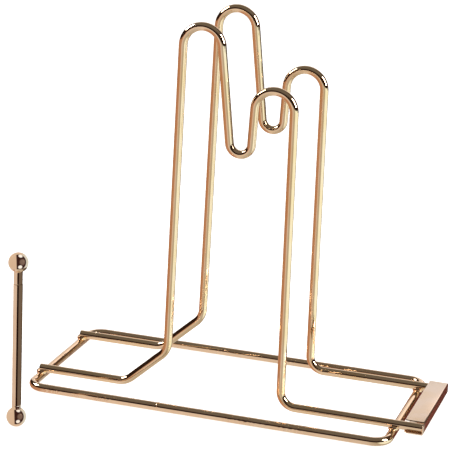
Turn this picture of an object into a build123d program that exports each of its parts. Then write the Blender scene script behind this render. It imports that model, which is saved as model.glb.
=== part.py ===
"""Photo album stand: two bent wires on a wire loop, a sheet channel and a loose rod with ball ends.

Millimetres, +Z up. The origin is on the table, under the centre of the base loop, and +X runs
along the loop towards the channel.
"""

import os
from math import asin, atan2, cos, degrees, hypot, sin
from typing import NamedTuple

from build123d import *

os.makedirs("parts", exist_ok=True)

# Wire
wire_d = 4.0
wire_r = wire_d / 2
end_chamfer = 0.3  # on the square-cut ends of the bent wires
set_down = 0.4  # depth to which a weld presses a bent wire into the loop
running_clearance = 0.05  # radial, between pieces that turn or slide on each other

# Base loop, between the centre lines of its bars
loop_length = 172.2
loop_depth = 82.9
loop_corner_r = 7.1
butt_weld_from_left = 64.6  # the loop's closing weld, in its front bar
butt_weld_width = 1.2
butt_weld_rise = 0.15

# Bent wires: heights are of the wire's top on a hump and of its underside in the valley
wire_spacing = 51.6
tall_height = 180.1
short_height = 154.5
valley_height = 120.0
left_overhang = 0.8  # wire end past the centre line of the loop's left bar
foot_to_rise = 39.0  # left bar to the centre of the foot's bend
foot_to_shoulder = 53.4
foot_to_tall = 73.9
foot_to_valley = 93.5
foot_to_short = 108.4
foot_to_heel = 125.7
shoulder_height = 28.4  # centre of the bend between the rise and the tall leg
rise_bend_r = 9.5
shoulder_bend_r = 9.6
hump_bend_r = 9.1
valley_bend_r = 5.2
heel_bend_r = 7.2

# End channel, folded from sheet, outside sizes
sheet_t = 0.5
channel_gap = 3.1  # from the loop's right bar to the flanges' free edges
channel_width = 9.0
channel_bend_r = 0.3  # inside radius of a fold
channel_overhang = 2.6  # past the centre line of each bent wire
wire_window = 3.9  # length of upper flange left off over the near wire
flange_corner_r = 2.4  # of the lower flange, at its near end

# Welds
foot_weld_r = 2.5
foot_weld_h = 2.6
foot_weld_round = 0.9
channel_weld_leg = 0.7  # past the side of the wire, along the channel's lower flange
channel_weld_rise = 1.5  # up the side of the wire
channel_weld_length = 4.0

# Loose rod, standing on its fixed ball
rod_d = 4.2
ball_d = 9.0
ball_spacing = 72.5  # between the balls' centres
neck_d = 4.0
neck_length = 5.3  # below the screw-off ball
seam = 0.05  # between the shaft and the neck
seam_chamfer = 0.12
fixed_ball_socket = 2.5  # depth of shaft inside the fixed ball
stud_d = 2.5
stud_pitch = 0.45
stud_in_shaft = 10 * stud_pitch
stud_in_ball = 4.0
stud_chamfer = 0.3
hole_end_gap = 0.4  # past each end of the stud
rod_from_left = 12.3  # from the centre line of the loop's left bar
rod_from_front = 42.8  # in front of the loop's front bar

# Placing
left_x = -loop_length / 2
right_x = loop_length / 2
front_y = -loop_depth / 2
wire_z = wire_r + wire_d - set_down
crossing_z = wire_d - set_down / 2
channel_left = right_x + wire_r + channel_gap
channel_right = channel_left + channel_width
wire_end_x = channel_right - sheet_t
rod_x = left_x + rod_from_left
rod_y = front_y - rod_from_front


class Bend(NamedTuple):
    """A round bend of a wire, in the plane of the wire: centre, centre-line radius, 1 left or -1 right."""

    x: float
    z: float
    r: float
    turn: int


BENDS = [
    Bend(left_x + foot_to_rise, wire_z + rise_bend_r, rise_bend_r, 1),
    Bend(left_x + foot_to_shoulder, shoulder_height, shoulder_bend_r, 1),
    Bend(left_x + foot_to_tall, tall_height - wire_r - hump_bend_r, hump_bend_r, -1),
    Bend(left_x + foot_to_valley, valley_height + wire_r + valley_bend_r, valley_bend_r, 1),
    Bend(left_x + foot_to_short, short_height - wire_r - hump_bend_r, hump_bend_r, -1),
    Bend(left_x + foot_to_heel, wire_z + heel_bend_r, heel_bend_r, 1),
]


def heading_between(a, b):
    """Heading of the straight run that leaves bend a and enters bend b, tangent to both."""
    dx, dz = b.x - a.x, b.z - a.z
    return atan2(dz, dx) - asin((b.turn * b.r - a.turn * a.r) / hypot(dx, dz))


def touch_point(bend, heading):
    """Where a straight run with this heading touches the bend."""
    return bend.x + bend.turn * bend.r * sin(heading), bend.z - bend.turn * bend.r * cos(heading)


def export(part, label):
    """Name a finished piece and write it."""
    part.label = label
    export_step(part, f"parts/{label}.step")


# Base loop: a round wire along a rectangle with round corners, flat on the table
with BuildPart() as base_loop:
    with BuildLine(Plane.XY.offset(wire_r)):
        outline = FilletPolyline(
            (left_x, front_y),
            (right_x, front_y),
            (right_x, -front_y),
            (left_x, -front_y),
            radius=loop_corner_r,
            close=True,
        )
    with BuildSketch(Plane(origin=outline @ 0, z_dir=outline % 0)):
        Circle(wire_r)
    sweep()
export(base_loop.part, "base_loop")

# Closing weld of the loop: a low ridge over the upper half of the front bar
with BuildPart() as butt_weld:
    with BuildSketch(Plane.YZ.offset(left_x + butt_weld_from_left)):
        with Locations((front_y, wire_r)):
            Circle(wire_r + butt_weld_rise)
            Rectangle(2 * wire_d, wire_d, align=(Align.CENTER, Align.MAX), mode=Mode.SUBTRACT)
            Circle(wire_r, mode=Mode.SUBTRACT)
    extrude(amount=butt_weld_width / 2, both=True)
export(butt_weld.part, "butt_weld")


def bent_wire(y):
    """A bent wire in the upright plane at depth y, pressed onto the loop's left and right bars."""
    headings = [0, *map(heading_between, BENDS, BENDS[1:]), 0]
    with BuildPart() as wire:
        with BuildLine(Plane.XZ.offset(-y)):
            here = (left_x - left_overhang, wire_z)
            for bend, heading_in, heading_out in zip(BENDS, headings, headings[1:]):
                start = touch_point(bend, heading_in)
                Line(here, start)
                JernArc(
                    start,
                    tangent=(cos(heading_in), sin(heading_in)),
                    radius=bend.r,
                    arc_size=degrees(heading_out - heading_in),
                )
                here = touch_point(bend, heading_out)
            Line(here, (wire_end_x, wire_z))
        with BuildSketch(Plane.YZ.offset(left_x - left_overhang)):
            with Locations((y, wire_z)):
                Circle(wire_r)
        sweep()
        rims = wire.edges().filter_by(GeomType.CIRCLE).group_by(Axis.X)
        chamfer(rims[0] + rims[-1], end_chamfer)
        add(base_loop.part, mode=Mode.SUBTRACT)
    return wire.part


near_wire = bent_wire(-wire_spacing / 2)
export(near_wire, "near_wire")
far_wire = bent_wire(wire_spacing / 2)
export(far_wire, "far_wire")


def foot_weld(x, y, wire):
    """Weld metal filling the corners where a bent wire crosses a bar of the loop."""
    with BuildPart() as weld:
        with Locations((x, y, crossing_z)):
            Cylinder(foot_weld_r, foot_weld_h)
        fillet(weld.edges().filter_by(GeomType.CIRCLE), foot_weld_round)
        add(base_loop.part, mode=Mode.SUBTRACT)
        add(wire, mode=Mode.SUBTRACT)
    return weld.part


for depth, y, wire in (("near", -wire_spacing / 2, near_wire), ("far", wire_spacing / 2, far_wire)):
    for side, x in (("left", left_x), ("right", right_x)):
        export(foot_weld(x, y, wire), f"foot_weld_{depth}_{side}")

# End channel: a C of sheet, open to the left, over the right ends of both bent wires
channel_length = wire_spacing + 2 * channel_overhang
channel_near = -channel_length / 2
with BuildPart() as end_channel:
    with BuildSketch(Plane.XZ.offset(channel_length / 2)) as channel_section:
        with Locations((channel_left, wire_z)):
            Rectangle(channel_width, wire_d + 2 * sheet_t, align=(Align.MIN, Align.CENTER))
        fillet(channel_section.vertices().group_by(Axis.X)[-1], channel_bend_r + sheet_t)
        with BuildSketch(mode=Mode.PRIVATE) as hollow:
            with Locations((channel_left, wire_z)):
                Rectangle(channel_width - sheet_t, wire_d, align=(Align.MIN, Align.CENTER))
            fillet(hollow.vertices().group_by(Axis.X)[-1], channel_bend_r)
        add(hollow.sketch, mode=Mode.SUBTRACT)
    extrude(amount=-channel_length)
    with Locations((channel_left, channel_near, wire_z)):
        Box(
            channel_width - sheet_t - channel_bend_r,
            wire_window,
            wire_d,
            align=(Align.MIN, Align.MIN, Align.MIN),
            mode=Mode.SUBTRACT,
        )
    near_corner = end_channel.edges().filter_by(Axis.Z).group_by(Axis.X)[0].sort_by(Axis.Y)[0]
    fillet(near_corner, flange_corner_r)
export(end_channel.part, "end_channel")


def channel_weld(y, inward, wire):
    """A bead along the inner side of a bent wire's end, in the corner of the channel's lower flange."""
    flange_z = wire_z - wire_r
    with BuildPart() as bead:
        with BuildSketch(Plane.YZ.offset(wire_end_x - channel_weld_length)):
            with BuildLine():
                Polyline(
                    (y + inward * wire_r / 2, flange_z),
                    (y + inward * (wire_r + channel_weld_leg), flange_z),
                    (y + inward * wire_r, flange_z + channel_weld_rise),
                    close=True,
                )
            make_face()
        extrude(amount=channel_weld_length)
        add(end_channel.part, mode=Mode.SUBTRACT)
        add(wire, mode=Mode.SUBTRACT)
    return bead.part


export(channel_weld(-wire_spacing / 2, 1, near_wire), "channel_weld_near")
export(channel_weld(wire_spacing / 2, -1, far_wire), "channel_weld_far")

# Rod, upright on its fixed ball; the other ball unscrews
rod_axis = Plane((rod_x, rod_y, 0))
ball_r = ball_d / 2
top_ball_z = ball_r + ball_spacing
neck_z = top_ball_z - ball_r - neck_length
shaft_top_z = neck_z - seam
shaft_foot_z = ball_d - fixed_ball_socket
hole_r = stud_d / 2 + running_clearance

with BuildPart() as rod_shaft:
    with BuildSketch(rod_axis.offset(shaft_foot_z)):
        Circle(rod_d / 2)
    extrude(amount=shaft_top_z - shaft_foot_z)
    chamfer(rod_shaft.edges().group_by(Axis.Z)[-1], seam_chamfer)
    with BuildSketch(rod_axis.offset(shaft_top_z)):
        Circle(hole_r)
    extrude(amount=-stud_in_shaft - hole_end_gap, mode=Mode.SUBTRACT)
export(rod_shaft.part, "rod_shaft")

with BuildPart() as fixed_ball:
    with Locations((rod_x, rod_y, ball_r)):
        Sphere(ball_r)
    add(rod_shaft.part, mode=Mode.SUBTRACT)
export(fixed_ball.part, "fixed_ball")

with BuildPart() as screw_ball:
    with BuildSketch(rod_axis.offset(neck_z)):
        Circle(neck_d / 2)
    extrude(amount=neck_length + ball_r)
    chamfer(screw_ball.edges().group_by(Axis.Z)[0], seam_chamfer)
    with Locations((rod_x, rod_y, top_ball_z)):
        Sphere(ball_r)
    with BuildSketch(rod_axis.offset(neck_z)):
        Circle(hole_r)
    extrude(amount=stud_in_ball + hole_end_gap, mode=Mode.SUBTRACT)
export(screw_ball.part, "screw_ball")

# Stud of the screw-off ball, in the holes of both pieces
with BuildPart() as ball_stud:
    with BuildSketch(rod_axis.offset(shaft_top_z - stud_in_shaft)):
        Circle(stud_d / 2)
    extrude(amount=stud_in_shaft + seam + stud_in_ball)
    chamfer(ball_stud.edges().filter_by(GeomType.CIRCLE), stud_chamfer)
export(ball_stud.part, "ball_stud")
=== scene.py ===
"""Finished look of the photo album stand: plated wires, welds, folded end channel and the loose rod."""

import math

import bmesh
import bpy
from bpy.props import FloatProperty, FloatVectorProperty, PointerProperty
from bpy.types import Operator, Panel, PropertyGroup
from mathutils import Matrix, Vector, noise


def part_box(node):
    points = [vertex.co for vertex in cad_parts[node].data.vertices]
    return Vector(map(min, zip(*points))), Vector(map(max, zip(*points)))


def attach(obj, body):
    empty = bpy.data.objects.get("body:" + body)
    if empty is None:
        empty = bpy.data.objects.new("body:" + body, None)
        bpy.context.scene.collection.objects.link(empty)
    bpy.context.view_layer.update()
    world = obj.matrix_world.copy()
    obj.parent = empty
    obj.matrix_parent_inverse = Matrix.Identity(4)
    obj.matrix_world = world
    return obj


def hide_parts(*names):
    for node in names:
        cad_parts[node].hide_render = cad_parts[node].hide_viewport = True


bl_info = {
    "name": "Album Stand",
    "version": (1, 0, 0),
    "blender": (4, 5, 0),
    "location": "View3D > Sidebar > Album Stand",
    "description": "Builds the finished pieces of a plated wire album stand and its loose rod",
    "category": "Object",
}

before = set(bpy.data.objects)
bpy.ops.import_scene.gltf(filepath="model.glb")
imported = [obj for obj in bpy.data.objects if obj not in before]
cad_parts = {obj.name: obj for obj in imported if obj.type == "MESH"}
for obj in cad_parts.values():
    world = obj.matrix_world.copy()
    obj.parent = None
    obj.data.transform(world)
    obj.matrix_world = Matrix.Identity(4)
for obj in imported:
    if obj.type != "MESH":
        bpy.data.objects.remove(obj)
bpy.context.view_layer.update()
MM = 0.001


# ---------------------------------------------------------------- sizes and colours


class AlbumStandSizes(PropertyGroup):
    """Sizes of the visible detail."""

    bend_squash: FloatProperty(
        name="Bend Squash",
        description="Share of its thickness that a wire loses in the plane of a bend",
        default=0.02,
        min=0.0,
        max=0.2,
        subtype="FACTOR",
    )
    cut_chamfer: FloatProperty(
        name="Cut Chamfer",
        description="Chamfer round the cut ends of the bent wires",
        default=0.3 * MM,
        unit="LENGTH",
        precision=5,
    )
    rim_round: FloatProperty(
        name="Rim Round",
        description="Rounding of the channel's sheared rims",
        default=0.2 * MM,
        unit="LENGTH",
        precision=5,
    )
    thread_pitch: FloatProperty(
        name="Thread Pitch",
        description="Pitch of the thread on the stud",
        default=0.45 * MM,
        unit="LENGTH",
        precision=5,
    )
    thread_depth: FloatProperty(
        name="Thread Depth",
        description="Depth of the thread on the stud",
        default=0.26 * MM,
        unit="LENGTH",
        precision=5,
    )


class AlbumStandFinish(PropertyGroup):
    """Colours and gloss of the finishes."""

    plating: FloatVectorProperty(
        name="Plating",
        description="Colour of the plating on the loop and the loose rod",
        subtype="COLOR",
        size=3,
        min=0.0,
        max=1.0,
        default=(0.90, 0.655, 0.455),
    )
    plating_pale: FloatVectorProperty(
        name="Pale Plating",
        description="Colour of the paler clouds in the plating",
        subtype="COLOR",
        size=3,
        min=0.0,
        max=1.0,
        default=(0.93, 0.715, 0.52),
    )
    sheet: FloatVectorProperty(
        name="Sheet",
        description="Colour of the plating on the channel's sheet",
        subtype="COLOR",
        size=3,
        min=0.0,
        max=1.0,
        default=(0.95, 0.77, 0.64),
    )
    bent_plating: FloatVectorProperty(
        name="Bent Wire Plating",
        description="Colour of the yellower plating on the bent wires",
        subtype="COLOR",
        size=3,
        min=0.0,
        max=1.0,
        default=(0.90, 0.665, 0.425),
    )
    weld: FloatVectorProperty(
        name="Weld",
        description="Colour of the plated weld metal",
        subtype="COLOR",
        size=3,
        min=0.0,
        max=1.0,
        default=(0.84, 0.56, 0.34),
    )
    steel: FloatVectorProperty(
        name="Steel",
        description="Colour of the bare steel stud",
        subtype="COLOR",
        size=3,
        min=0.0,
        max=1.0,
        default=(0.56, 0.54, 0.51),
    )
    gloss: FloatProperty(
        name="Plating Roughness",
        description="Roughness of the mirror-bright plating",
        default=0.055,
        min=0.0,
        max=1.0,
        subtype="FACTOR",
    )


# ---------------------------------------------------------------- materials


# scales of the marks in the plating, in features per metre
CLOUD_SCALE = 90.0
PATCH_SCALE = 55.0
PIT_SCALE = 1100.0


def add_node(tree, kind, **inputs):
    """A node of a shader tree, with its sockets set or linked by name."""
    made = tree.nodes.new(kind)
    for name, value in inputs.items():
        socket = made.inputs[name.replace("_", " ")]
        if isinstance(value, bpy.types.NodeSocket):
            tree.links.new(value, socket)
        else:
            socket.default_value = value
    return made


def new_material(name):
    """An empty node material and its tree."""
    material = bpy.data.materials.new(name)
    material.use_nodes = True
    material.node_tree.nodes.clear()
    return material, material.node_tree


def finish_tree(tree, shader):
    """Puts the shader on the surface."""
    add_node(tree, "ShaderNodeOutputMaterial", Surface=shader.outputs["BSDF"])


def speckle(tree, scale, detail):
    """Noise in the piece's own space, scale in features per metre."""
    place = add_node(tree, "ShaderNodeTexCoord")
    return add_node(
        tree,
        "ShaderNodeTexNoise",
        Vector=place.outputs["Object"],
        Scale=scale,
        Detail=detail,
        Roughness=0.55,
    ).outputs["Fac"]


def bump(tree, depth, height, **below):
    """A bump of a given depth in millimetres, laid over another where one is given."""
    return add_node(
        tree, "ShaderNodeBump", Strength=1.0, Distance=depth * MM, Height=height, **below
    ).outputs["Normal"]


def two_colours(tree, factor, low, high):
    """A soft-edged ramp between two colours."""
    ramp = add_node(tree, "ShaderNodeValToRGB", Fac=factor)
    for element, position, colour in zip(
        ramp.color_ramp.elements, (0.35, 0.65), (low, high)
    ):
        element.position, element.color = position, (*colour, 1.0)
    return ramp.outputs["Color"]


def mask(tree, value, start, end):
    """0 at the start value and 1 at the end value, held between them."""
    return add_node(
        tree, "ShaderNodeMapRange", Value=value, From_Min=start, From_Max=end
    ).outputs["Result"]


def both(tree, one, two):
    """The product of two masks."""
    made = tree.nodes.new("ShaderNodeMath")
    made.operation = "MULTIPLY"
    tree.links.new(one, made.inputs[0])
    tree.links.new(two, made.inputs[1])
    return made.outputs["Value"]


def towards(tree, way, direction):
    """How nearly a way points in a fixed direction, 1 when it does."""
    made = tree.nodes.new("ShaderNodeVectorMath")
    made.operation = "DOT_PRODUCT"
    tree.links.new(way, made.inputs[0])
    made.inputs[1].default_value = Vector(direction).normalized()
    return made.outputs["Value"]


def mix(tree, factor, one, two):
    """Goes from one colour to another as the factor rises."""
    made = tree.nodes.new("ShaderNodeMix")
    made.data_type = "RGBA"
    tree.links.new(factor, made.inputs["Factor"])
    for socket, value in zip([s for s in made.inputs if s.type == "RGBA"], (one, two)):
        if isinstance(value, bpy.types.NodeSocket):
            tree.links.new(value, socket)
        else:
            socket.default_value = (*value, 1.0)
    return [s for s in made.outputs if s.type == "RGBA"][0]


def spread(tree, factor, low, high):
    """Noise spread over a range of values."""
    return add_node(
        tree, "ShaderNodeMapRange", Value=factor, To_Min=low, To_Max=high
    ).outputs["Result"]


def plated_metal(name, colours, roughness, ripple, ripple_scale, grain, pits=0.0):
    """Bright plating on metal: cloudy colour, slight ripple, fine grain, patches of pits.

    Ripple, the first figure of grain and pits are depths in millimetres, and scales are in
    features per metre.
    """
    grain_depth, grain_scale = grain
    tree = new_material(name)[1]
    cloud = speckle(tree, CLOUD_SCALE, 3.0)
    fine = speckle(tree, grain_scale, 2.0)
    normal = bump(tree, ripple, speckle(tree, ripple_scale, 1.0))
    if pits:
        patch = mask(tree, speckle(tree, PATCH_SCALE, 1.0), 0.57, 0.66)
        pitting = both(tree, patch, speckle(tree, PIT_SCALE, 1.0))
        normal = bump(tree, pits, pitting, Normal=normal)
    shader = add_node(
        tree,
        "ShaderNodeBsdfPrincipled",
        Metallic=1.0,
        Base_Color=two_colours(tree, cloud, *colours),
        Roughness=spread(tree, fine, roughness * 0.7, roughness * 1.3),
        Normal=bump(tree, grain_depth, fine, Normal=normal),
    )
    finish_tree(tree, shader)


def make_finishes():
    """The finishes of the stand, each a material under its own plain name."""
    look = bpy.context.scene.album_stand_finish
    plating, pale = tuple(look.plating), tuple(look.plating_pale)
    bent, sheet = tuple(look.bent_plating), tuple(look.sheet)
    weld, steel = tuple(look.weld), tuple(look.steel)
    bright_steel = tuple(c * 1.15 for c in steel)
    # a dark finish for the channel's cut edge: painted shade, standing in for the shadow in the gap
    # under the upper flange
    edge_shade_colours = tuple(c * 0.10 for c in weld), tuple(c * 0.22 for c in weld)
    gloss = look.gloss
    satin = gloss * 3.2
    drawn = 0.017, 330.0, (0.0006, 4000.0)
    plated_metal("plated wire", (plating, pale), gloss, *drawn, 0.12)
    plated_metal("plated bent wire", (bent, pale), gloss, *drawn, 0.04)
    plated_metal("plated weld", (weld, plating), satin, 0.05, 900.0, (0.003, 5000.0))
    plated_metal("plated sheet", (pale, sheet), satin, 0.006, 260.0, (0.002, 6000.0))
    plated_metal("painted edge shade", edge_shade_colours, 0.32, 0.004, 900.0, (0.004, 7000.0))
    turned = 420.0, (0.0008, 5000.0)
    plated_metal("plated rod", (plating, pale), gloss, 0.006, *turned)
    polished = 420.0, (0.0005, 5000.0)
    plated_metal("plated ball", (plating, pale), gloss * 0.8, 0.004, *polished)
    cut = 2500.0, (0.004, 9000.0)
    plated_metal("bare steel", (steel, bright_steel), 0.28, 0.004, *cut)


# ---------------------------------------------------------------- shapes


def show(name, data):
    """A new object in the scene."""
    made = bpy.data.objects.new(name, data)
    bpy.context.scene.collection.objects.link(made)
    return made


def new_piece(name, mesh, slot, body, *nodes, crease=None, finish=None):
    """Shows a mesh as a finished piece that stands for CAD nodes and rides on their body.

    A finish goes by its slot's name unless another is given. Edges sharper than the crease, in
    degrees, are shaded sharp.
    """
    finish = finish or slot.replace("_", " ")
    piece = show(name, mesh)
    mesh.materials.append(bpy.data.materials[finish])
    mesh.shade_smooth()
    if crease is not None:
        mesh.set_sharp_from_angle(angle=math.radians(crease))
    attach(piece, body)
    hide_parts(*nodes)
    return piece


def to_mesh(shape, name):
    """Turns a finished bmesh into a mesh with outward normals."""
    bmesh.ops.recalc_face_normals(shape, faces=shape.faces)
    mesh = bpy.data.meshes.new(name)
    shape.to_mesh(mesh)
    shape.free()
    return mesh


def skin(shape, rings, closed=False):
    """Quads between neighbouring rings of vertices."""
    pairs = list(zip(rings, rings[1:])) + ([(rings[-1], rings[0])] if closed else [])
    for near, far in pairs:
        count = len(near)
        for i in range(count):
            j = (i + 1) % count
            shape.faces.new((near[i], near[j], far[j], far[i]))


# how finely wires and turned shapes are cut up
RUN_STEP = 4 * MM
BEND_STEP = math.radians(3.5)
WIRE_SIDES = 40
LATHE_SIDES = 64


class Station:
    """One place along a wire: its centre, its heading and how hard it is bent there."""

    def __init__(self, centre, heading, bent):
        self.centre, self.heading, self.bent = centre, heading, bent


def straight(start, end):
    """Stations along a straight run, without its ends."""
    run = end - start
    count = max(2, round(run.length / RUN_STEP))
    heading = run.normalized()
    return [
        Station(start + run * (i / count), heading, 0.0) for i in range(1, count)
    ]


def arc(centre, radius, start_angle, sweep, place):
    """Stations round a bend, with both ends; place turns plane coordinates into a point."""
    count = max(4, math.ceil(abs(sweep) / BEND_STEP))
    side = math.copysign(1.0, sweep)
    stations = []
    for i in range(count + 1):
        t = i / count
        angle = start_angle + sweep * t
        point = place(
            centre[0] + radius * math.cos(angle), centre[1] + radius * math.sin(angle)
        )
        ahead = place(-side * math.sin(angle), side * math.cos(angle)) - place(0, 0)
        bent = min(1.0, 4 * min(t, 1 - t))
        stations.append(Station(point, ahead.normalized(), bent))
    return stations


# a cut end's rings: share of the chamfer off the radius, and share along the wire
CHAMFER_RINGS = ((1.1, 0.0), (0.35, 0.3), (0.0, 1.0))


def wire_mesh(name, stations, across, radius, squash, closed=False, chamfer=0.0):
    """A round wire along its stations; across is the direction square to its plane."""
    shape = bmesh.new()

    def ring(station, shrink=0.0, shift=0.0):
        inward = across.cross(station.heading).normalized()
        thin = 1.0 - squash * station.bent
        middle = station.centre + station.heading * shift
        made = []
        for i in range(WIRE_SIDES):
            angle = 2 * math.pi * i / WIRE_SIDES
            out = inward * (math.cos(angle) * thin) + across * math.sin(angle)
            made.append(shape.verts.new(middle + out * (radius - shrink)))
        return made

    if closed:
        skin(shape, [ring(s) for s in stations], closed=True)
        return to_mesh(shape, name)

    first, last = stations[0], stations[-1]
    cuts = [(chamfer * off, chamfer * along) for off, along in CHAMFER_RINGS]
    rings = [ring(first, shrink, shift) for shrink, shift in cuts]
    rings += [ring(s) for s in stations[1:-1]]
    rings += [ring(last, shrink, -shift) for shrink, shift in reversed(cuts)]
    skin(shape, rings)
    for rim, station, way in ((rings[0], first, 1), (rings[-1], last, -1)):
        dished = station.centre + station.heading * (way * 0.05 * MM)
        face = [
            shape.verts.new(dished + (v.co - station.centre) * 0.55) for v in rim
        ]
        skin(shape, [rim, face])
        shape.faces.new(face)
    return to_mesh(shape, name)


def lathe_mesh(name, axis, profile):
    """A turned shape on an upright axis from (radius, height) pairs."""
    shape = bmesh.new()
    turns = [2 * math.pi * i / LATHE_SIDES for i in range(LATHE_SIDES)]
    rings = []
    for r, z in profile:
        if r <= 1e-9:
            rings.append([shape.verts.new((axis.x, axis.y, z))])
            continue
        rings.append(
            [
                shape.verts.new(
                    (axis.x + r * math.cos(a), axis.y + r * math.sin(a), z)
                )
                for a in turns
            ]
        )
    for low, high in zip(rings, rings[1:]):
        if len(low) == 1 or len(high) == 1:
            tip, rim = (low, high) if len(low) == 1 else (high, low)
            for i in range(LATHE_SIDES):
                shape.faces.new((tip[0], rim[i], rim[(i + 1) % LATHE_SIDES]))
        else:
            skin(shape, [low, high])
    return to_mesh(shape, name)


# ---------------------------------------------------------------- facts of the stand

WIRE_R = 2.0 * MM
LOOP_CORNER_R = 7.1 * MM
WIRE_Z = 5.6 * MM

loop_low, loop_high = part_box("base_loop")
LEFT_X, RIGHT_X = loop_low.x + WIRE_R, loop_high.x - WIRE_R
FRONT_Y, BACK_Y = loop_low.y + WIRE_R, loop_high.y - WIRE_R

near_low, near_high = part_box("near_wire")
NEAR_Y, FAR_Y = near_low.y + WIRE_R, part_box("far_wire")[0].y + WIRE_R
WIRE_START_X, WIRE_END_X = near_low.x, near_high.x

# bends of a bent wire: x from the loop's left bar, height of centre, radius, and turn
BENDS = [
    (39.0 * MM, WIRE_Z + 9.5 * MM, 9.5 * MM, 1),
    (53.4 * MM, 28.4 * MM, 9.6 * MM, 1),
    (73.9 * MM, 169.0 * MM, 9.1 * MM, -1),
    (93.5 * MM, 127.2 * MM, 5.2 * MM, 1),
    (108.4 * MM, 143.4 * MM, 9.1 * MM, -1),
    (125.7 * MM, WIRE_Z + 7.2 * MM, 7.2 * MM, 1),
]


def heading_between(one, two):
    """Heading of the straight run that touches two neighbouring bends."""
    dx, dz = two[0] - one[0], two[1] - one[1]
    turn = (two[3] * two[2] - one[3] * one[2]) / math.hypot(dx, dz)
    return math.atan2(dz, dx) - math.asin(turn)


def bent_wire_stations(y):
    """Stations of a bent wire in the upright plane at depth y."""

    def place(x, z):
        return Vector((LEFT_X + x, y, z))

    headings = [0.0, *map(heading_between, BENDS, BENDS[1:]), 0.0]
    start = Vector((WIRE_START_X, y, WIRE_Z))
    stations = [Station(start, Vector((1, 0, 0)), 0.0)]
    here = start
    for (x, z, r, turn), into, out in zip(BENDS, headings, headings[1:]):
        bend = arc((x, z), r, into - turn * math.pi / 2, out - into, place)
        stations += straight(here, bend[0].centre) + bend
        here = bend[-1].centre
    end = Vector((WIRE_END_X, y, WIRE_Z))
    return stations + straight(here, end) + [Station(end, Vector((1, 0, 0)), 0.0)]


def loop_stations():
    """Stations of the base loop, all the way round."""

    def place(x, y):
        return Vector((x, y, WIRE_R))

    r = LOOP_CORNER_R
    corners = [
        (RIGHT_X - r, FRONT_Y + r, -math.pi / 2),
        (RIGHT_X - r, BACK_Y - r, 0.0),
        (LEFT_X + r, BACK_Y - r, math.pi / 2),
        (LEFT_X + r, FRONT_Y + r, math.pi),
    ]
    bends = [arc((x, y), r, a, math.pi / 2, place) for x, y, a in corners]
    stations = []
    for i, bend in enumerate(bends):
        stations += straight(bends[i - 1][-1].centre, bend[0].centre) + bend
    return stations


# ---------------------------------------------------------------- operators


class ALBUMSTAND_OT_finishes(Operator):
    """Mix the plated finishes, the weld metal and the bare steel"""

    bl_idname = "album_stand.finishes"
    bl_label = "Finishes"

    def execute(self, context):
        make_finishes()
        return {"FINISHED"}


class ALBUMSTAND_OT_base_loop(Operator):
    """Bend the base loop and run the ridge of its closing weld round the front bar"""

    bl_idname = "album_stand.base_loop"
    bl_label = "Base Loop"

    def execute(self, context):
        sizes = context.scene.album_stand_sizes
        loop = wire_mesh(
            "base_loop_wire",
            loop_stations(),
            Vector((0, 0, 1)),
            WIRE_R,
            sizes.bend_squash,
            closed=True,
        )
        new_piece("base_loop_wire", loop, "plated_wire", "stand", "base_loop")

        low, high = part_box("butt_weld")
        rise = high.z - 2 * WIRE_R
        root, core = WIRE_R - 0.02 * MM, WIRE_R * 0.9
        steps, around = 12, 44
        shape = bmesh.new()
        rings = []
        for i in range(steps + 1):
            t = i / steps
            x = low.x + (high.x - low.x) * t
            swell = math.sin(math.pi * t) ** 0.7
            outer, inner = [], []
            for j in range(around + 1):
                angle = math.pi * j / around
                flash = 0.75 + 0.25 * noise.noise(Vector((t * 3.0, angle * 4.0, 7.0)))
                ends = min(1.0, 5 * min(j, around - j) / around)
                for side, r in ((outer, root + rise * swell * flash * ends), (inner, core)):
                    y, z = r * math.cos(angle), r * math.sin(angle)
                    side.append(shape.verts.new((x, FRONT_Y + y, WIRE_R + z)))
            rings.append(outer + inner[::-1])
        skin(shape, rings)
        for ring in (rings[0], rings[-1]):
            for j in range(around):
                shape.faces.new((ring[j], ring[j + 1], ring[-2 - j], ring[-1 - j]))
        ridge = to_mesh(shape, "closing_weld")
        new_piece("closing_weld", ridge, "plated_weld", "stand", "butt_weld")
        return {"FINISHED"}


class ALBUMSTAND_OT_bent_wires(Operator):
    """Bend the two upright wires that hold the album, with their square-cut ends"""

    bl_idname = "album_stand.bent_wires"
    bl_label = "Bent Wires"

    def execute(self, context):
        sizes = context.scene.album_stand_sizes
        for side, y in (("near", NEAR_Y), ("far", FAR_Y)):
            mesh = wire_mesh(
                f"{side}_bent_wire",
                bent_wire_stations(y),
                Vector((0, -1, 0)),
                WIRE_R,
                sizes.bend_squash,
                chamfer=sizes.cut_chamfer,
            )
            new_piece(
                f"{side}_bent_wire",
                mesh,
                "plated_wire",
                "stand",
                f"{side}_wire",
                crease=22,
                finish="plated bent wire",
            )
        return {"FINISHED"}


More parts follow.
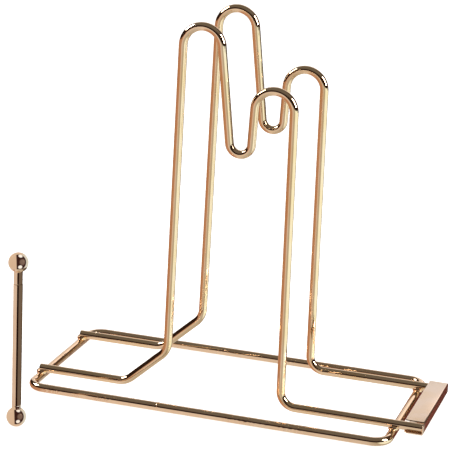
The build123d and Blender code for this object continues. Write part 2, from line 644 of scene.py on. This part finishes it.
class ALBUMSTAND_OT_foot_welds(Operator):
    """Fill the corners where the bent wires cross the loop with pressed-out weld metal"""

    bl_idname = "album_stand.foot_welds"
    bl_label = "Foot Welds"

    def execute(self, context):
        for depth in ("near", "far"):
            for side in ("left", "right"):
                node = f"foot_weld_{depth}_{side}"
                new_piece(
                    f"{node}_flash", self.flash(node), "plated_weld", "stand", node
                )
        return {"FINISHED"}

    def flash(self, node):
        """A low uneven collar round the crossing."""
        low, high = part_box(node)
        middle = (low + high) / 2
        radius, half = (high.x - low.x) / 2, (high.z - low.z) / 2
        shape = bmesh.new()
        rings = []
        for i in range(13):
            lift = -1 + 2 * i / 12
            waist = 0.80 + 0.17 * (1 - abs(lift) ** 2.2)
            ring = []
            for j in range(48):
                angle = 2 * math.pi * j / 48
                way = Vector((math.cos(angle), math.sin(angle), 0))
                lump = noise.noise(way * 2.3 + middle * 400 + Vector((0, 0, lift)))
                r = radius * min(1.0, waist + 0.05 * lump)
                ring.append(
                    shape.verts.new(middle + way * r + Vector((0, 0, lift * half * 0.9)))
                )
            rings.append(ring)
        skin(shape, rings)
        shape.faces.new(rings[0])
        shape.faces.new(rings[-1])
        return to_mesh(shape, f"{node}_flash")


class ALBUMSTAND_OT_end_channel(Operator):
    """Fold the sheet channel over the right ends of the bent wires"""

    bl_idname = "album_stand.end_channel"
    bl_label = "End Channel"

    def execute(self, context):
        low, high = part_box("end_channel")
        sheet, fold, window, corner = 0.5 * MM, 0.55 * MM, 3.9 * MM, 2.4 * MM
        half = sheet / 2
        floor_z, roof_z, fold_x = low.z + half, high.z - half, high.x - half - fold
        flat_x = fold_x - 0.1 * MM

        def quarter(centre_z, start):
            angles = [start + math.pi / 2 * i / 8 for i in range(9)]
            return [
                (fold_x + fold * math.cos(a), centre_z + fold * math.sin(a))
                for a in angles
            ]

        section = [(flat_x, floor_z)]
        section += quarter(floor_z + fold, -math.pi / 2)
        section += quarter(roof_z - fold, 0.0)
        section.append((flat_x, roof_z))

        shape = bmesh.new()
        near, cut, far = low.y, low.y + window, high.y
        columns = []
        for y in (near, cut, far):
            columns.append([shape.verts.new((x, y, z)) for x, z in section])
        # beside the window the sheet stops part of the way round its upper fold
        stops = (len(section) - 6, len(section) - 1)
        for one, two, stop in zip(columns, columns[1:], stops):
            for i in range(stop):
                shape.faces.new((one[i], one[i + 1], two[i + 1], two[i]))
        # lower flange, with its rounded near corner
        rim = [columns[0][0]]
        for i in range(13):
            a = math.pi * 1.5 - math.pi / 2 * i / 12
            x = low.x + corner + corner * math.cos(a)
            y = near + corner + corner * math.sin(a)
            rim.append(shape.verts.new((x, y, floor_z)))
        rim.append(shape.verts.new((low.x, far, floor_z)))
        rim += [columns[2][0], columns[1][0]]
        shape.faces.new(rim)
        # upper flange, past the window
        roof = [columns[1][-1], columns[2][-1]]
        roof += [shape.verts.new((low.x, y, roof_z)) for y in (far, cut)]
        shape.faces.new(roof)
        loose = [v for v in shape.verts if not v.link_faces]
        bmesh.ops.delete(shape, geom=loose, context="VERTS")
        mesh = to_mesh(shape, "folded_channel")
        piece = new_piece(
            "folded_channel", mesh, "plated_sheet", "stand", "end_channel", crease=40
        )
        thick = piece.modifiers.new("sheet thickness", "SOLIDIFY")
        thick.thickness, thick.offset = sheet, 0.0
        thick.use_even_offset = True
        soft = piece.modifiers.new("sheared rims", "BEVEL")
        soft.width = context.scene.album_stand_sizes.rim_round
        soft.segments = 3
        soft.limit_method = "ANGLE"
        soft.angle_limit = math.radians(50)
        self.paint_cut_edge_shade(piece, (floor_z + roof_z) / 2, cut)
        return {"FINISHED"}

    def paint_cut_edge_shade(self, piece, middle_z, cut_y):
        """Settles the channel's modifiers, and paints shade onto the upper flange's cut edge: a dark
        finish that stands in for the shadow in the gap under the flange.
        """
        depsgraph = bpy.context.evaluated_depsgraph_get()
        solid = bpy.data.meshes.new_from_object(piece.evaluated_get(depsgraph))
        solid.name = "folded_channel_solid"
        piece.modifiers.clear()
        piece.data = solid
        solid.materials.append(bpy.data.materials["painted edge shade"])
        # the upper flange's cut edge and its rounded rim take the dark finish, which is painted shade
        for face in solid.polygons:
            at_cut = abs(face.center.y - cut_y) < 0.45 * MM
            in_flange = face.center.z > middle_z
            if at_cut and in_flange and face.normal.y < -0.15:
                face.material_index = 1


class ALBUMSTAND_OT_channel_beads(Operator):
    """Lay the rippled weld beads between the bent wires' ends and the channel"""

    bl_idname = "album_stand.channel_beads"
    bl_label = "Channel Beads"

    def execute(self, context):
        for side, y, inward in (("near", NEAR_Y, 1), ("far", FAR_Y, -1)):
            node = f"channel_weld_{side}"
            new_piece(
                f"{node}_bead",
                self.bead(node, y, inward),
                "plated_weld",
                "stand",
                node,
            )
        return {"FINISHED"}

    def bead(self, node, y, inward):
        """A bead with the ripples of its run, in the corner of the lower flange."""
        low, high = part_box(node)
        root = WIRE_R * 0.75
        width = max(abs(low.y - y), abs(high.y - y)) - root
        height = high.z - low.z
        shape = bmesh.new()
        rings = []
        steps = 40
        for i in range(steps + 1):
            t = i / steps
            x = low.x + (high.x - low.x) * t
            ripple = 0.86 + 0.14 * abs(math.sin(t * math.pi * 5.5))
            taper = min(1.0, 6 * min(t, 1 - t) + 0.25) ** 0.5
            wide, tall = width * ripple * taper, height * ripple * taper
            ring = []
            for j in range(17):
                a = math.pi / 2 * j / 16
                out = root + wide * math.cos(a) ** 1.1
                up = tall * math.sin(a) ** 1.1
                ring.append(shape.verts.new((x, y + inward * out, low.z + up)))
            ring.append(shape.verts.new((x, y + inward * root, low.z)))
            rings.append(ring)
        skin(shape, rings)
        shape.faces.new(rings[0])
        shape.faces.new(rings[-1])
        return to_mesh(shape, f"{node}_bead")


class ALBUMSTAND_OT_loose_rod(Operator):
    """Turn the loose rod, its fixed ball and the ball that unscrews"""

    bl_idname = "album_stand.loose_rod"
    bl_label = "Loose Rod"

    hole_r = 1.3 * MM
    lip = 0.08 * MM
    chamfer = 0.12 * MM
    fillet = 0.25 * MM
    ball_steps = 48

    def execute(self, context):
        low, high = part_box("rod_shaft")
        axis = (low + high) / 2
        shaft_r = (high.x - low.x) / 2
        mesh = lathe_mesh("rod_shaft_turned", axis, self.shaft(low.z, high.z, shaft_r))
        new_piece(
            "rod_shaft_turned", mesh, "plated_rod", "rod", "rod_shaft", crease=30
        )

        low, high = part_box("fixed_ball")
        ball_r = (high.x - low.x) / 2
        mesh = lathe_mesh(
            "fixed_ball_turned", axis, self.fixed_ball(low.z, ball_r, shaft_r)
        )
        new_piece(
            "fixed_ball_turned", mesh, "plated_ball", "rod", "fixed_ball", crease=50
        )

        low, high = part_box("screw_ball")
        mesh = lathe_mesh(
            "screw_ball_turned", axis, self.screw_ball(low.z, high.z, ball_r)
        )
        new_piece(
            "screw_ball_turned", mesh, "plated_ball", "ball", "screw_ball", crease=50
        )
        return {"FINISHED"}

    def shaft(self, foot, top, shaft_r):
        """The shaft's outside, and the hole in its top end."""
        hole_floor = top - 4.9 * MM
        return [
            (0.0, foot),
            (shaft_r - self.chamfer, foot),
            (shaft_r, foot + self.chamfer),
            *[(shaft_r, foot + (top - foot) * t / 12) for t in range(1, 12)],
            (shaft_r, top - self.chamfer),
            (shaft_r - self.chamfer, top),
            (self.hole_r + self.lip, top),
            (self.hole_r, top - self.lip),
            (self.hole_r, hole_floor),
            (0.0, hole_floor),
        ]

    def fixed_ball(self, foot, ball_r, shaft_r):
        """A ball that meets the shaft in a small fillet and reaches a little way inside it."""
        centre = foot + ball_r
        reach = math.acos((shaft_r + self.fillet) / ball_r)
        profile = [(0.0, foot)]
        for i in range(1, self.ball_steps + 1):
            a = -math.pi / 2 + (math.pi / 2 + reach) * i / self.ball_steps
            profile.append((ball_r * math.cos(a), centre + ball_r * math.sin(a)))
        top = profile[-1][1]
        inside, depth = shaft_r - 0.05 * MM, 1.5 * MM
        profile += [(shaft_r + 0.10 * MM, top + 0.06 * MM), (shaft_r, top + 0.16 * MM)]
        profile += [(inside, top + 0.16 * MM), (inside, top - depth)]
        profile.append((0.0, top - depth))
        return profile

    def screw_ball(self, foot, top, ball_r):
        """The ball that unscrews, with its neck and the hole for the stud."""
        centre = top - ball_r
        neck_r, hole_depth = 2.0 * MM, 4.4 * MM
        reach = math.acos((neck_r + self.fillet) / ball_r)
        join = centre - ball_r * math.sin(reach)
        profile = [
            (0.0, foot + hole_depth),
            (self.hole_r, foot + hole_depth),
            (self.hole_r, foot + self.lip),
            (self.hole_r + self.lip, foot),
            (neck_r - self.chamfer, foot),
            (neck_r, foot + self.chamfer),
            *[(neck_r, foot + (join - foot) * t / 6) for t in range(1, 6)],
            (neck_r, join - 0.16 * MM),
            (neck_r + 0.10 * MM, join - 0.06 * MM),
        ]
        for i in range(self.ball_steps):
            a = -reach + (math.pi / 2 + reach) * i / self.ball_steps
            profile.append((ball_r * math.cos(a), centre + ball_r * math.sin(a)))
        profile.append((0.0, top))
        return profile


class ALBUMSTAND_OT_stud(Operator):
    """Cut the thread of the stud that joins the screw-off ball to the rod"""

    bl_idname = "album_stand.stud"
    bl_label = "Threaded Stud"

    def execute(self, context):
        sizes = context.scene.album_stand_sizes
        low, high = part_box("ball_stud")
        axis = (low + high) / 2
        crest = (high.x - low.x) / 2
        shape = bmesh.new()
        around, rows = 48, 216
        end_taper = 0.3 * MM
        rings = []
        for i in range(rows + 1):
            z = low.z + (high.z - low.z) * i / rows
            lead = min(z - low.z, high.z - z)
            limit = crest - max(0.0, end_taper - lead)
            ring = []
            for j in range(around):
                turn = j / around
                phase = ((z - low.z) / sizes.thread_pitch - turn) % 1.0
                groove = sizes.thread_depth * max(0.0, 1 - abs(phase - 0.5) * 2.3)
                r = min(limit, crest - groove)
                a = 2 * math.pi * turn
                x, y = axis.x + r * math.cos(a), axis.y + r * math.sin(a)
                ring.append(shape.verts.new((x, y, z)))
            rings.append(ring)
        skin(shape, rings)
        shape.faces.new(rings[0])
        shape.faces.new(rings[-1])
        mesh = to_mesh(shape, "stud_thread")
        new_piece("stud_thread", mesh, "bare_steel", "stud", "ball_stud", crease=50)
        return {"FINISHED"}


class ALBUMSTAND_OT_stage(Operator):
    """Lay the pale floor, set the studio light and the camera, and paint reflections round the loose
    rod
    """

    bl_idname = "album_stand.stage"
    bl_label = "Stage"

    def execute(self, context):
        scene = context.scene
        scene.view_settings.view_transform = "Standard"
        self.floor()
        self.surroundings(scene)
        self.softboxes()
        self.paint_rod_reflections()
        self.paint_ball_reflections()
        self.camera(scene)
        return {"FINISHED"}

    def floor(self):
        """A wide plain floor."""
        shape = bmesh.new()
        bmesh.ops.create_circle(shape, cap_ends=True, radius=9.0, segments=96)
        mesh = to_mesh(shape, "floor")
        floor = show("floor", mesh)
        material, tree = new_material("pale floor")
        shader = add_node(
            tree,
            "ShaderNodeBsdfPrincipled",
            Base_Color=(0.86, 0.86, 0.855, 1.0),
            Roughness=0.9,
        )
        shader.inputs["Specular IOR Level"].default_value = 0.1
        finish_tree(tree, shader)
        mesh.materials.append(material)
        floor.visible_glossy = False

    def surroundings(self, scene):
        """A pale room for the eye and for the floor, and a darker studio round the bright metal."""
        world = bpy.data.worlds.new("studio")
        scene.world = world
        world.use_nodes = True
        tree = world.node_tree
        tree.nodes.clear()
        way = add_node(tree, "ShaderNodeTexCoord").outputs["Generated"]
        axes = add_node(tree, "ShaderNodeSeparateXYZ", Vector=way).outputs

        def ramp(factor, stops):
            made = add_node(tree, "ShaderNodeValToRGB", Fac=factor)
            elements = made.color_ramp.elements
            for position, colour in stops[:-2]:
                elements.new(position)
            for element, (position, colour) in zip(elements, stops):
                element.position, element.color = position, (*colour, 1.0)
            return made.outputs["Color"]

        def unit(value):
            return add_node(
                tree, "ShaderNodeMapRange", Value=value, From_Min=-1.0
            ).outputs["Result"]

        below = ramp(
            unit(axes["X"]),
            [
                (0.00, (0.48, 0.26, 0.15)),
                (0.26, (0.56, 0.32, 0.21)),
                (0.34, (0.80, 0.72, 0.66)),
                (0.46, (0.62, 0.58, 0.52)),
                (0.78, (0.48, 0.46, 0.38)),
                (0.88, (1.04, 1.18, 1.08)),
                (1.00, (1.08, 1.24, 1.16)),
            ],
        )
        above = ramp(
            unit(axes["Z"]),
            [
                (0.50, (0.018, 0.009, 0.006)),
                (0.71, (0.026, 0.013, 0.008)),
                (0.79, (0.105, 0.090, 0.075)),
                (0.90, (0.165, 0.150, 0.125)),
                (1.00, (0.145, 0.132, 0.110)),
            ],
        )

        studio = mix(tree, mask(tree, axes["Z"], -0.03, 0.0), below, above)
        behind = mask(tree, axes["Y"], 0.85, 0.90)
        studio = mix(tree, behind, studio, (0.150, 0.034, 0.024))
        # a dark wall behind on the right, from a little below the horizon up
        dark_wall = both(
            tree,
            mask(tree, axes["Z"], -0.150, -0.135),
            both(
                tree,
                mask(tree, axes["X"], 0.15, 0.25),
                mask(tree, axes["Y"], 0.30, 0.48),
            ),
        )
        studio = mix(tree, dark_wall, studio, (0.070, 0.045, 0.030))
        # a pale panel and a small bright gleam, both behind and a little above
        panel = towards(tree, way, (-0.28, 0.917, 0.284))
        studio = mix(tree, mask(tree, panel, 0.88, 0.94), studio, (0.80, 0.75, 0.71))
        gleam = towards(tree, way, (0.02, 0.917, 0.39))
        studio = mix(tree, mask(tree, gleam, 0.975, 0.99), studio, (1.25, 1.10, 1.02))
        ray = add_node(tree, "ShaderNodeLightPath").outputs
        seen = mix(tree, ray["Is Glossy Ray"], (0.96, 0.96, 0.955), studio)
        seen = mix(tree, ray["Is Diffuse Ray"], seen, (0.50, 0.50, 0.50))
        light = add_node(tree, "ShaderNodeBackground", Color=seen, Strength=1.0)
        add_node(
            tree, "ShaderNodeOutputWorld", Surface=light.outputs["Background"]
        )

    def softboxes(self):
        """Soft panels high on the left and right, and an even light from overhead."""
        middle, distance = Vector((0.0, 0.0, 0.09)), 1.4
        for name, way, size, energy in (
            ("left softbox", (-0.79, -0.06, 0.60), (0.56, 0.60), 11.0),
            ("right softbox", (0.90, -0.01, 0.45), (0.52, 0.78), 14.0),
        ):
            data = bpy.data.lights.new(name, "AREA")
            data.shape = "RECTANGLE"
            data.size, data.size_y = size
            data.energy = energy
            data.color = (1.0, 0.985, 0.95)
            data.use_shadow = False
            lamp = show(name, data)
            away = Vector(way).normalized()
            lamp.location = middle + away * distance
            lamp.rotation_euler = away.to_track_quat("Z", "Y").to_euler()
            lamp.visible_camera = False
        data = bpy.data.lights.new("room light", "SUN")
        data.energy, data.angle = 2.1, math.radians(60)
        data.use_shadow = False
        show("room light", data).visible_glossy = False

    def paint_rod_reflections(self):
        """Glowing pale, dark and grey cards round the loose rod, which only metal near them sees:
        painted reflections in the rod and its balls.
        """
        low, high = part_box("rod_shaft")
        axis = (low + high) / 2
        radius, reach, steps = 14 * MM, 24 * MM, 24
        front = math.atan2(-0.956, 0.292)
        # each card glows in its colour, a painted reflection that the rod and its balls show
        for name, start, end, colour in (
            ("pale painted reflection", -180, -17, (0.72, 0.64, 0.60)),
            ("black painted reflection", -17, 24, (0.016, 0.004, 0.002)),
            ("grey painted reflection", 24, 110, (0.175, 0.150, 0.130)),
            ("brown painted reflection", 110, 180, (0.095, 0.075, 0.055)),
        ):
            shape = bmesh.new()
            rows = []
            for z in (-4 * MM, 84 * MM):
                row = []
                for i in range(steps + 1):
                    a = front + math.radians(start + (end - start) * i / steps)
                    x, y = axis.x + radius * math.cos(a), axis.y + radius * math.sin(a)
                    row.append(shape.verts.new((x, y, z)))
                rows.append(row)
            foot, top = rows
            for i in range(steps):
                shape.faces.new((foot[i], top[i], top[i + 1], foot[i + 1]))
            card = show(name, to_mesh(shape, name))
            material, tree = new_material(name)
            self.make_painted_reflection(card, material, tree, (*colour, 1.0), reach)

    def make_painted_reflection(self, card, material, tree, colour, limit):
        """Makes a glowing card that only metal nearer than the limit sees, painting its colour into
        that metal as a reflection.
        """
        glow = add_node(tree, "ShaderNodeEmission", Color=colour, Strength=1.0)
        clear = add_node(tree, "ShaderNodeBsdfTransparent")
        reach = add_node(tree, "ShaderNodeLightPath").outputs["Ray Length"]
        far = tree.nodes.new("ShaderNodeMath")
        far.operation = "GREATER_THAN"
        far.inputs[1].default_value = limit
        tree.links.new(reach, far.inputs[0])
        nearby = tree.nodes.new("ShaderNodeMixShader")
        tree.links.new(far.outputs["Value"], nearby.inputs[0])
        tree.links.new(glow.outputs["Emission"], nearby.inputs[1])
        tree.links.new(clear.outputs["BSDF"], nearby.inputs[2])
        add_node(tree, "ShaderNodeOutputMaterial", Surface=nearby.outputs["Shader"])
        card.data.materials.append(material)
        card.visible_camera = False
        card.visible_diffuse = False
        card.visible_shadow = False

    def paint_ball_reflections(self):
        """A small glowing shell round each ball of the loose rod, which paints a pale and dark
        reflection into the ball.
        """
        # as shares of the ball's radius
        size, reach, opening = 1.35, 0.92, 0.8
        for node in ("fixed_ball", "screw_ball"):
            low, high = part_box(node)
            ball_r = (high.x - low.x) / 2
            centre = (low + high) / 2
            centre.z = low.z + ball_r if node == "fixed_ball" else high.z - ball_r
            shape = bmesh.new()
            bmesh.ops.create_uvsphere(
                shape, u_segments=48, v_segments=24, radius=ball_r * size
            )
            if node == "screw_ball":
                # open at the foot, so that the neck sees the rod's painted reflections
                foot = [v for v in shape.verts if v.co.z < -opening * ball_r]
                bmesh.ops.delete(shape, geom=foot, context="VERTS")
            name = f"{node}_tent"
            reflection_shell = show(name, to_mesh(shape, name))
            reflection_shell.location = centre
            material, tree = new_material(name)
            self.make_painted_reflection(reflection_shell, material, tree, self.cloth(tree), ball_r * reach)

    def cloth(self, tree):
        """A painted reflection for a ball: pale, with a dark window of painted shade in front, a grey
        patch in it and two painted highlights.
        """
        made = tree.nodes.new("ShaderNodeVectorMath")
        made.operation = "NORMALIZE"
        place = add_node(tree, "ShaderNodeTexCoord").outputs["Object"]
        tree.links.new(place, made.inputs[0])
        way = made.outputs["Vector"]
        front = towards(tree, way, (0.366, -0.867, 0.336))
        right = towards(tree, way, (0.915, 0.402, 0.044))
        patch = towards(tree, way, (0.77, -0.56, 0.30))
        peach, cream = (0.74, 0.65, 0.58), (0.76, 0.88, 0.95)
        brown, grey = (0.045, 0.019, 0.018), (0.215, 0.170, 0.165)
        cloth = mix(tree, mask(tree, right, 0.3, 0.8), peach, cream)
        # a dark window of painted shade in front, with a grey patch in it
        window = both(
            tree, mask(tree, front, 0.40, 0.50), mask(tree, right, -0.27, -0.19)
        )
        shade = mix(tree, mask(tree, patch, 0.90, 0.97), brown, grey)
        cloth = mix(tree, window, cloth, shade)
        # two painted highlights, near the top and the foot of the ball
        for spot in ((0.348, -0.222, 0.911), (0.57, -0.76, -0.30)):
            bright = mask(tree, towards(tree, way, spot), 0.960, 0.982)
            cloth = mix(tree, bright, cloth, (1.10, 1.28, 1.50))
        return cloth

    def camera(self, scene):
        """The camera, looking down on the stand with a slight lean."""
        place = (0.24513, -0.82221, 0.33494)
        ahead = Vector((-0.27995, 0.91692, -0.28438)).normalized()
        lean = math.radians(-2.64)
        data = bpy.data.cameras.new("camera")
        data.lens, data.sensor_width, data.sensor_fit = 152.77, 36.0, "AUTO"
        data.clip_start, data.clip_end = 0.01, 50.0
        camera = show("camera", data)
        right = ahead.cross(Vector((0, 0, 1))).normalized()
        down = ahead.cross(right).normalized()
        level = right * math.cos(lean) + down * math.sin(lean)
        under = down * math.cos(lean) - right * math.sin(lean)
        turn = Matrix((level, -under, -ahead)).transposed()
        camera.matrix_world = Matrix.Translation(place) @ turn.to_4x4()
        scene.camera = camera


STEPS = (
    ALBUMSTAND_OT_finishes,
    ALBUMSTAND_OT_base_loop,
    ALBUMSTAND_OT_bent_wires,
    ALBUMSTAND_OT_foot_welds,
    ALBUMSTAND_OT_end_channel,
    ALBUMSTAND_OT_channel_beads,
    ALBUMSTAND_OT_loose_rod,
    ALBUMSTAND_OT_stud,
    ALBUMSTAND_OT_stage,
)


class ALBUMSTAND_PT_panel(Panel):
    """Lists the steps that build the album stand"""

    bl_idname = "ALBUMSTAND_PT_panel"
    bl_label = "Album Stand"
    bl_space_type = "VIEW_3D"
    bl_region_type = "UI"
    bl_category = "Album Stand"

    def draw(self, context):
        layout = self.layout
        for group in (
            context.scene.album_stand_sizes,
            context.scene.album_stand_finish,
        ):
            column = layout.column(align=True)
            for name in group.__annotations__:
                column.prop(group, name)
        column = layout.column(align=True)
        for step in STEPS:
            column.operator(step.bl_idname)


CLASSES = (AlbumStandSizes, AlbumStandFinish, *STEPS, ALBUMSTAND_PT_panel)


def register():
    """Adds the sizes, finishes, steps and panel to Blender."""
    for cls in CLASSES:
        bpy.utils.register_class(cls)
    bpy.types.Scene.album_stand_sizes = PointerProperty(type=AlbumStandSizes)
    bpy.types.Scene.album_stand_finish = PointerProperty(type=AlbumStandFinish)


def unregister():
    """Takes them out again."""
    del bpy.types.Scene.album_stand_finish
    del bpy.types.Scene.album_stand_sizes
    for cls in reversed(CLASSES):
        bpy.utils.unregister_class(cls)


def main():
    """Builds every piece and the stage."""
    register()
    bpy.ops.album_stand.finishes()
    bpy.ops.album_stand.base_loop()
    bpy.ops.album_stand.bent_wires()
    bpy.ops.album_stand.foot_welds()
    bpy.ops.album_stand.end_channel()
    bpy.ops.album_stand.channel_beads()
    bpy.ops.album_stand.loose_rod()
    bpy.ops.album_stand.stud()
    bpy.ops.album_stand.stage()


if __name__ == "__main__":
    main()
